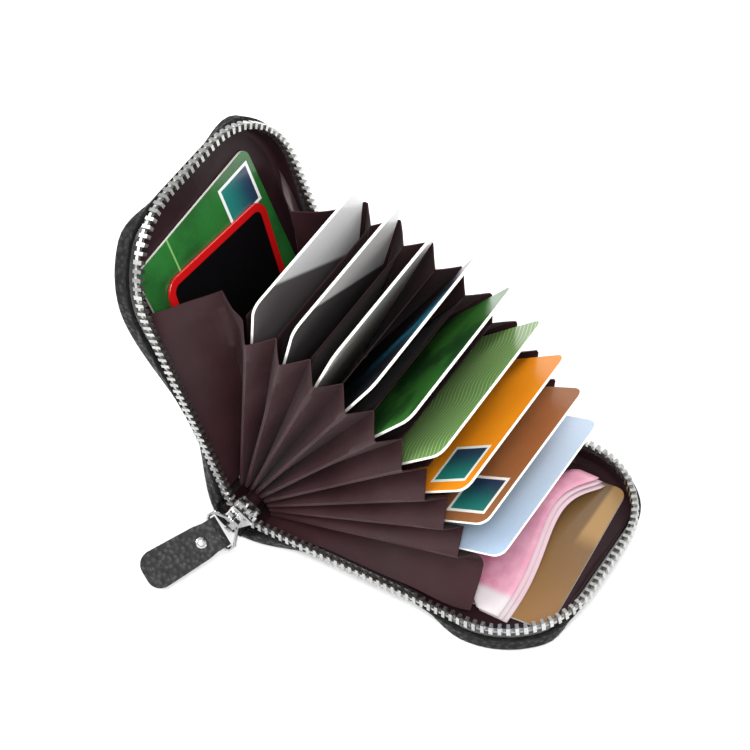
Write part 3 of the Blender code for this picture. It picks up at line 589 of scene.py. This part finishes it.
def cover_sheet(name, side, profile, start, material, floor=True, ripple=0.0):
    """A tray-shaped sheet: a floor across the cover and a wall that rises round its three zipped sides."""
    angle, over_sign = (0.0, 1.0) if side == "lower" else (OPENING, -1.0)
    columns, rows = FLOOR_COLUMNS, edge_stations(side, start)
    vertices, faces = [], []

    def place(out, y, offset):
        return spot(angle, out, offset * over_sign, y)

    if floor:
        reach = REACH - profile(REACH, rows[-1][4])[0][0]
        for number, (out, half, way_x, way_y, draw) in enumerate(rows):
            inset, low = profile(out, draw)[0]
            end, edge = out - way_x * inset, half - way_y * inset
            # Along the round corners the rows bow, so that their middles reach the mouth in even steps
            middle = end
            if number >= SIDE_ROWS:
                middle = STRAIGHT + (reach - STRAIGHT) * (number - SIDE_ROWS) / CORNER_ROWS
            calm = min(number, len(rows) - 1 - number, CALM_ROWS) / CALM_ROWS
            for column in range(columns + 1):
                across = 2 * column / columns - 1
                x, y = end + (middle - end) * (1 - across**2), edge * across
                inside = math.sin(math.pi * column / columns) ** 0.5 * calm
                wave = 0.0
                if ripple:
                    wave = abs(crumple(Vector((x, y, RIPPLE_LEVEL)), RIPPLE_SIZE, ripple)) * inside
                vertices.append(place(x, y, low - wave))
        faces = grid_faces(len(rows), columns + 1)
    last = rows[-1]
    mouth = [(REACH, last[1] * (2 * column / columns - 1), 1.0, 0.0, last[4])
             for column in range(1, columns)]
    edge = [(row, -1.0) for row in rows] + [(row, 1.0) for row in mouth + rows[::-1]]
    begin = len(vertices)
    for (out, half, way_x, way_y, draw), sign in edge:
        outline = profile(out, draw)
        for inset, height in outline:
            vertices.append(place(out - way_x * inset, sign * (half - way_y * inset), height))
    faces += grid_faces(len(edge), len(outline), begin)
    piece = new_piece(name, vertices, faces, material, side + "_cover")
    merge(piece)
    facing = sum((face.normal * face.area for face in piece.data.polygons), Vector())
    if floor and facing.dot(over(angle) * over_sign) > 0:
        piece.data.flip_normals()
    return piece


def leather_profile(out, draw):
    """From the leather's floor round its foot and up to its top edge, which leans out under the zip."""
    head = Vector((LEATHER_LEAN * draw, min(LEATHER_TOP, under_slider(out))))
    foot = Vector((draw, -HALF_THICKNESS))
    near = foot.lerp(head, min(FOOT_ROUNDING / (head - foot).length, FOOT_REACH))
    far = Vector((draw + FOOT_ROUNDING, -HALF_THICKNESS))
    points = []
    for step in range(FOOT_STEPS + 1):
        share = step / FOOT_STEPS
        points.append(far * (1 - share) ** 2 + foot * 2 * share * (1 - share) + near * share**2)
    return points + [near.lerp(head, step / WALL_STEPS) for step in range(1, WALL_STEPS + 1)]


def tape_profile(out, draw):
    """From the zip row's foot inwards, then down between the leather and the satin."""
    drawn, top = draw / SIDE_DRAW, under_slider(out)
    return [Vector((ZIP_INSET, min(TAPE_TOP, top))),
            Vector((ZIP_INSET + TAPE_FOLD_DRAW * drawn, min(TAPE_FOLD, top - TAPE_DROP))),
            Vector((ZIP_INSET + TAPE_FOOT_DRAW * drawn, TAPE_FOOT))]


def lining_profile(out, draw):
    """From the satin's floor up the inside of the wall."""
    drawn = draw / SIDE_DRAW
    foot = Vector((LINING_INSET + LINING_FOOT_DRAW * drawn, LINING_FLOOR))
    top = min(LINING_RIM - LINING_HEAD_DROP * drawn, under_slider(out))
    head = Vector((LINING_INSET + LINING_HEAD_DRAW * drawn, top))
    return [foot.lerp(head, step / LINING_STEPS) for step in range(LINING_STEPS + 1)]


def make_covers():
    for side in ("lower", "upper"):
        skin = cover_sheet(side + "_leather_tray", side, leather_profile, LEATHER_START, LEATHER_SKIN)
        thicken(skin, LEATHER, offset=-1.0)
        round_edges(skin, width=0.0003, degrees=55, segments=2)
        shade(skin, sharp_from=45)
        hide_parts(side + "_cover_leather")
        tape = cover_sheet(side + "_woven_tape", side, tape_profile, TAPE_START, TAPE, floor=False)
        thicken(tape, TAPE_THICKNESS)
        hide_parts(side + "_zip_tape")
        satin_tray = cover_sheet(side + "_satin_lining", side, lining_profile, LINING_START, SATIN_FLAT,
                                 ripple=LINING_RIPPLE)
        thicken(satin_tray, LINING)
        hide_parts(side + "_cover_lining")


# Spine and pages

BACK_GAP = 0.03
BACK_ROWS, BACK_COLUMNS = 30, 28
SATIN_BACK_RADIUS, SATIN_BACK = 0.0077, 0.0002
PAGE_START, PAGE_HALF, END_PAGE_HALF, PAGE = 0.0028, 0.0226, 0.0217, 0.00016
PAGE_ROWS, PAGE_COLUMNS = 22, 12


def arc_sheet(name, radius, half, low, high, material, thickness):
    """A sheet round the axis, between two angles and half a width to each side."""
    points = []
    for row in range(BACK_ROWS + 1):
        base = AXIS + ray(low + (high - low) * row / BACK_ROWS) * radius
        for column in range(BACK_COLUMNS + 1):
            points.append(base + Vector((0.0, -half + 2 * half * column / BACK_COLUMNS, 0.0)))
    piece = new_piece(name, points, grid_faces(BACK_ROWS + 1, BACK_COLUMNS + 1), material)
    thicken(piece, thickness)
    return piece


def make_spine():
    low, high = OPENING + math.pi / 2 + BACK_GAP, math.pi * 1.5 - BACK_GAP
    radius = HALF_THICKNESS - LEATHER / 2
    back = arc_sheet("leather_back", radius, HALF_WIDTH, low, high, LEATHER_SKIN, LEATHER)
    round_edges(back, width=0.0004, segments=2)
    back.data.shade_smooth()
    inner = arc_sheet("satin_back", SATIN_BACK_RADIUS, HALF_WIDTH - LINING_INSET, low, high, SATIN_FLAT,
                      SATIN_BACK)
    for piece, node, slot in ((back, "spine_leather", "leather"), (inner, "spine_lining", "satin")):
        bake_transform(piece)
        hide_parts(node)


def make_pages():
    """Each page is a plain sheet from the core to the pocket's mouth."""
    for number in range(POCKETS + 1):
        angle, offset = page_angle(number), page_offset(number)
        half = END_PAGE_HALF if number in (0, POCKETS) else PAGE_HALF
        points = []
        for row in range(PAGE_ROWS + 1):
            reach = PAGE_START + (MOUTH - PAGE_START) * row / PAGE_ROWS
            for column in range(PAGE_COLUMNS + 1):
                y = -half + 2 * half * column / PAGE_COLUMNS
                points.append(spot(angle, reach, offset, y))
        page = new_piece("satin_page_%d" % number, points, grid_faces(PAGE_ROWS + 1, PAGE_COLUMNS + 1),
                         SATIN_FLAT, "page_body_%d" % number)
        thicken(page, PAGE)
        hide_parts("page_%d" % number)


# Notes and the small card

NOTE_LEAVES, NOTE_ROWS, NOTE_COLUMNS = 3, 26, 30
NOTE_LEAF, NOTE_HEIGHT = 0.00014, -0.0065
NOTE_START, NOTE_MOUTH, NOTE_SKEW = 0.026, 0.0842, 0.0006
NOTE_SIDE, NOTE_WIDTH = -0.0275, 0.0557

# The curl at the mouth: its rise, how far it draws the edge back, where along the leaf it begins, and
# where across it its crest lies and how narrow that is
NOTE_RISE, NOTE_DRAW, NOTE_CURL = 0.0052, 0.0042, 0.25
CREST_SKEW, CREST_WIDTH = 1.9, 1.3

# What each further leaf adds: height at foot and mouth, and how far it ends short and to the side
LEAF_HEIGHT, LEAF_RISE, LEAF_SHORT, LEAF_SIDE = 0.0003, 0.0009, 0.0011, 0.0004

# How much narrower a leaf is inside the gussets, and where it widens
NOTE_TUCK, NOTE_WIDENS = 0.0032, (0.0718, 0.0750)


def note_point(out, across, layer):
    """A point of a leaf. Its mouth edge lifts and draws back, and inside the gussets it is narrower."""
    lift = math.sin(math.pi * across**CREST_SKEW) ** CREST_WIDTH
    mouth = NOTE_MOUTH + NOTE_SKEW * across - NOTE_DRAW * lift - LEAF_SHORT * layer
    reach = NOTE_START + (mouth - NOTE_START) * out
    narrow = NOTE_TUCK * (1 - eased(reach, *NOTE_WIDENS))
    y = NOTE_SIDE + narrow + (NOTE_WIDTH - 2 * narrow) * across - LEAF_SIDE * layer * (1 - across)
    rise = (NOTE_RISE * lift + LEAF_RISE * layer) * eased(out, NOTE_CURL, 1.0)
    return spot(0.0, reach, NOTE_HEIGHT + layer * LEAF_HEIGHT + rise, y)


def make_notes():
    """Folded notes: three leaves that rise towards the mouth in one soft curl."""
    for layer in range(NOTE_LEAVES):
        points = []
        for row in range(NOTE_ROWS + 1):
            for column in range(NOTE_COLUMNS + 1):
                points.append(note_point(row / NOTE_ROWS, column / NOTE_COLUMNS, layer))
        paint = NOTE_TOP if layer == NOTE_LEAVES - 1 else NOTE_UNDER
        name = "note_leaf_%d" % (layer + 1)
        faces = grid_faces(NOTE_ROWS + 1, NOTE_COLUMNS + 1)
        leaf = new_piece(name, points, faces, paint, "lower_contents")
        thicken(leaf, NOTE_LEAF)
        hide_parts("folded_notes")
        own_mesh(leaf)


# The red-rimmed card: size, corners, turn, height of its two faces, and its middle out and across
SMALL_LENGTH, SMALL_WIDTH, SMALL_CORNER, SMALL_STEPS = 0.069, 0.045, 0.005, 8
SMALL_TURN, SMALL_LOW, SMALL_HIGH = math.radians(5.7), 0.00581, 0.00657
SMALL_OUT, SMALL_ACROSS = 0.0385, -0.0026
SMALL_RIM, SMALL_RIM_EDGE = 0.0025, 0.0001


def make_small_card():
    """The red-rimmed card, at the width and place that the photograph shows."""
    turn, radius, outline = SMALL_TURN, SMALL_CORNER, []
    for number, (along, across) in enumerate(((1, -1), (1, 1), (-1, 1), (-1, -1))):
        for step in range(SMALL_STEPS + 1):
            angle = math.pi / 2 * (number - 1 + step / SMALL_STEPS)
            x = along * (SMALL_LENGTH / 2 - radius) + radius * math.cos(angle)
            y = across * (SMALL_WIDTH / 2 - radius) + radius * math.sin(angle)
            outline.append((SMALL_OUT + x * math.cos(turn) - y * math.sin(turn),
                            SMALL_ACROSS + x * math.sin(turn) + y * math.cos(turn)))
    count = len(outline)
    vertices = [spot(OPENING, x, offset, y) for offset in (SMALL_LOW, SMALL_HIGH) for x, y in outline]
    faces = [tuple(range(count)), tuple(range(2 * count - 1, count - 1, -1))]
    faces += [(k, (k + 1) % count, count + (k + 1) % count, count + k) for k in range(count)]
    card = new_piece("red_rimmed_card", vertices, faces, red_rimmed(), "small_card", smooth=False)
    round_edges(card, width=0.00012, degrees=60)
    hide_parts("upper_small_card")


# The CAD nodes that stay, painted

CARDS = {
    "card_1": (linear(166, 187, 210), linear(184, 202, 222), "wash"),
    "card_2": (linear(138, 88, 50), linear(160, 112, 66), "block"),
    "card_3": (linear(236, 136, 4), linear(242, 160, 18), "block"),
    "card_4": (linear(106, 150, 72), linear(204, 220, 180), "lines"),
    "card_5": (linear(22, 76, 28), linear(56, 128, 44), "patches"),
    "card_6": (linear(12, 20, 38), linear(52, 170, 206), "flare"),
    "card_7": (linear(232, 230, 222), linear(212, 208, 196), "wash"),
    "card_8": (linear(214, 214, 216), linear(70, 66, 70), "diagonal"),
    "card_9": (linear(232, 232, 232), linear(92, 86, 88), "diagonal"),
}


def repaint(node, material):
    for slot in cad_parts[node].material_slots:
        slot.material = material


# The top edges of the two loose cards, and how far below a card's top the diagonal plan starts
GREEN_TOP, GOLD_TOP = 0.086, 0.093
DIAGONAL_START = 0.012
LEAST_FOOT = 0.0005


def card_top(offset):
    """How far out a pocket card's top edge lies. Its foot stands on a round floor."""
    side = max(abs(offset) - HALF_CARD, 0.0)
    foot = max(math.sqrt(max(FLOOR_RADIUS**2 - side**2, 0.0)), LEAST_FOOT)
    return foot + CARD_GAP + CARD_LENGTH


def paint_nodes():
    for side in ("lower", "upper"):
        repaint(side + "_zip_teeth", TEETH)
    for node in ("slider_body", "pull_ring", "pull_rivet"):
        repaint(node, BRIGHT)
    repaint("pull_leather", PULL_SKIN)
    repaint("spine_core", SATIN_FLAT)
    for number in range(POCKETS):
        name = "card_%d" % (number + 1)
        base, second, plan = CARDS[name]
        angle, offset = pocket_plane(number)
        middle = card_top(offset) - (DIAGONAL_START if plan == "diagonal" else 0.0)
        repaint(name, card_paint(name + "_face", angle, middle, base, second, plan))
        repaint("pocket_floor_%d" % (number + 1), SATIN_FLAT)
    green, green_light = linear(14, 80, 26), linear(30, 108, 40)
    repaint("upper_card", card_paint("upper_card_face", OPENING, GREEN_TOP, green, green_light, "banded"))
    # The gold card's second colour is painted shade, darker towards its back
    gold, gold_painted_shade = linear(132, 94, 48), linear(96, 70, 36)
    repaint("lower_card", card_paint("lower_card_face", 0.0, GOLD_TOP, gold, gold_painted_shade, "gold"))


def red_rimmed():
    """The small card's face: black, with a red rim of even width that follows its turned outline."""
    turn = SMALL_TURN
    paint = Paint("upper_small_card_face", linear(12, 10, 12), 0.3, Coat_Weight=0.3, Coat_Roughness=0.15)
    long_way = ray(OPENING) * math.cos(turn) + Vector((0.0, math.sin(turn), 0.0))
    short_way = Vector((0.0, math.cos(turn), 0.0)) - ray(OPENING) * math.sin(turn)
    centre = AXIS + ray(OPENING) * SMALL_OUT + Vector((0.0, SMALL_ACROSS, 0.0))
    out = paint.math("ABSOLUTE", paint.along(tuple(long_way), tuple(centre)))
    across = paint.math("ABSOLUTE", paint.along(tuple(short_way), tuple(centre)))
    # Distance from a smaller rectangle, so that the rim turns the corners with the card
    half_out, half_across = SMALL_LENGTH / 2 - SMALL_CORNER, SMALL_WIDTH / 2 - SMALL_CORNER
    past_out = paint.math("MAXIMUM", paint.math("SUBTRACT", out, half_out), 0.0)
    past_across = paint.math("MAXIMUM", paint.math("SUBTRACT", across, half_across), 0.0)
    squares = paint.math("ADD", paint.math("POWER", past_out, 2.0), paint.math("POWER", past_across, 2.0))
    low, high = SMALL_RIM - SMALL_RIM_EDGE, SMALL_RIM + SMALL_RIM_EDGE
    inner = paint.remap(paint.math("SQRT", squares), low, high, 1.0, 0.0)
    speck = paint.remap(paint.noise(1500.0, 2.0), 0.3, 0.8, 0.0, 0.2)
    red = paint.mix(speck, linear(196, 18, 20), linear(150, 10, 14))
    paint.color(paint.mix(inner, red, linear(9, 8, 10)))
    return paint.material


# Floor, light and camera

FLOOR_SIDE, FLOOR_DROP = 3.0, 0.0002
LIGHT_TARGET = (0, 0, 0.03)


def area_light(name, place, size, power):
    """A soft round light, turned to the wallet."""
    data = bpy.data.lights.new(name, "AREA")
    data.shape = "DISK"
    data.size = size
    data.energy = power
    light = bpy.data.objects.new(name, data)
    bpy.context.scene.collection.objects.link(light)
    light.location = place
    light.rotation_euler = (Vector(LIGHT_TARGET) - Vector(place)).to_track_quat("-Z", "Y").to_euler()


def make_stage():
    side = FLOOR_SIDE
    floor = bpy.data.meshes.new("floor")
    corners = [(-side, -side, 0), (side, -side, 0), (side, side, 0), (-side, side, 0)]
    floor.from_pydata(corners, [], [(0, 1, 2, 3)])
    plane = bpy.data.objects.new("floor", floor)
    bpy.context.scene.collection.objects.link(plane)
    plane.location.z = -FLOOR_DROP
    floor.materials.append(Paint("floor_white", (0.9, 0.9, 0.9, 1.0), 0.9, Specular_IOR_Level=0.1).material)
    world = bpy.data.worlds.new("studio")
    world.use_nodes = True
    world.node_tree.nodes["Background"].inputs["Color"].default_value = (1.0, 1.0, 1.0, 1.0)
    world.node_tree.nodes["Background"].inputs["Strength"].default_value = 0.75
    bpy.context.scene.world = world
    area_light("key", (0.35, -0.45, 0.8), size=0.5, power=9.0)
    area_light("fill", (-0.6, -0.3, 0.5), size=0.6, power=3.5)
    area_light("back", (0.1, 0.7, 0.6), size=0.6, power=4.5)
    bpy.context.scene.view_settings.view_transform = "Standard"


# The camera that the fit gave: its place from the axis, and its directions in this frame
SENSOR_WIDTH, LENS = 36.0, 120.0
CAMERA_PLACE = Vector((0.3138, -0.35994, 0.56931))
CAMERA_RIGHT = Vector((0.83886, 0.53714, -0.08827))
CAMERA_UP = Vector((-0.36001, 0.66908, 0.65017))
CAMERA_BACK = Vector((0.40829, -0.51362, 0.75465))


def make_camera():
    data = bpy.data.cameras.new("photo_camera")
    data.sensor_width = SENSOR_WIDTH
    data.lens = LENS
    data.clip_start = 0.01
    camera = bpy.data.objects.new("photo_camera", data)
    bpy.context.scene.collection.objects.link(camera)
    turn = Matrix((CAMERA_RIGHT, CAMERA_UP, CAMERA_BACK)).transposed().to_4x4()
    camera.matrix_world = Matrix.Translation(AXIS + CAMERA_PLACE) @ turn
    bpy.context.scene.camera = camera


make_gussets()
make_covers()
make_spine()
make_pages()
make_notes()
make_small_card()
paint_nodes()
make_stage()
make_camera()
